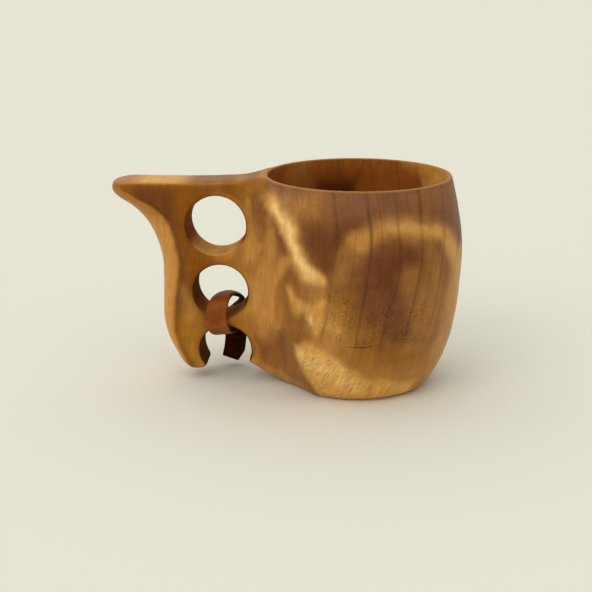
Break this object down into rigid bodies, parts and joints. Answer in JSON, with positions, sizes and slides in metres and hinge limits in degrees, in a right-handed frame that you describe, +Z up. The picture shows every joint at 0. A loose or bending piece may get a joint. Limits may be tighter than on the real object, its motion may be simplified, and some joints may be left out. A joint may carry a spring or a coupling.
{
  "type": "wooden drinking cup",
  "caption": "Carved wooden kuksa cup with a finger-hole handle and a leather thong looped round the handle's lower bridge.",
  "frame": {"origin": "centre of the bowl's flat base, on the bowl's axis", "axes": "+Z up along the bowl's axis, handle towards -X, handle plate in the XZ plane"},
  "size_m": [0.1504, 0.09, 0.091],
  "materials": {
    "birch_wood": "oiled satin curly birch burl with dark heartwood and golden figure",
    "leather": "smooth brown vegetable-tanned leather with a waxed face and raw cut edges"
  },
  "bodies": {
    "cup": {"cup_body": "birch_wood"},
    "thong_loop": {"strap_loop": "leather"},
    "thong_tail": {"strap_tail": "leather"}
  },
  "joints": [
    {"name": "loop_slip", "type": "slide", "parent": "cup", "child": "thong_loop", "axis": [0, 0, 1], "range_m": [-0.0014, 0]},
    {"name": "tail_swing", "type": "hinge", "parent": "thong_loop", "child": "thong_tail", "pos_m": [-0.0548, 0.0149, 0.019], "axis": [1, 0, 0], "range_deg": [-8, 75]}
  ]
}
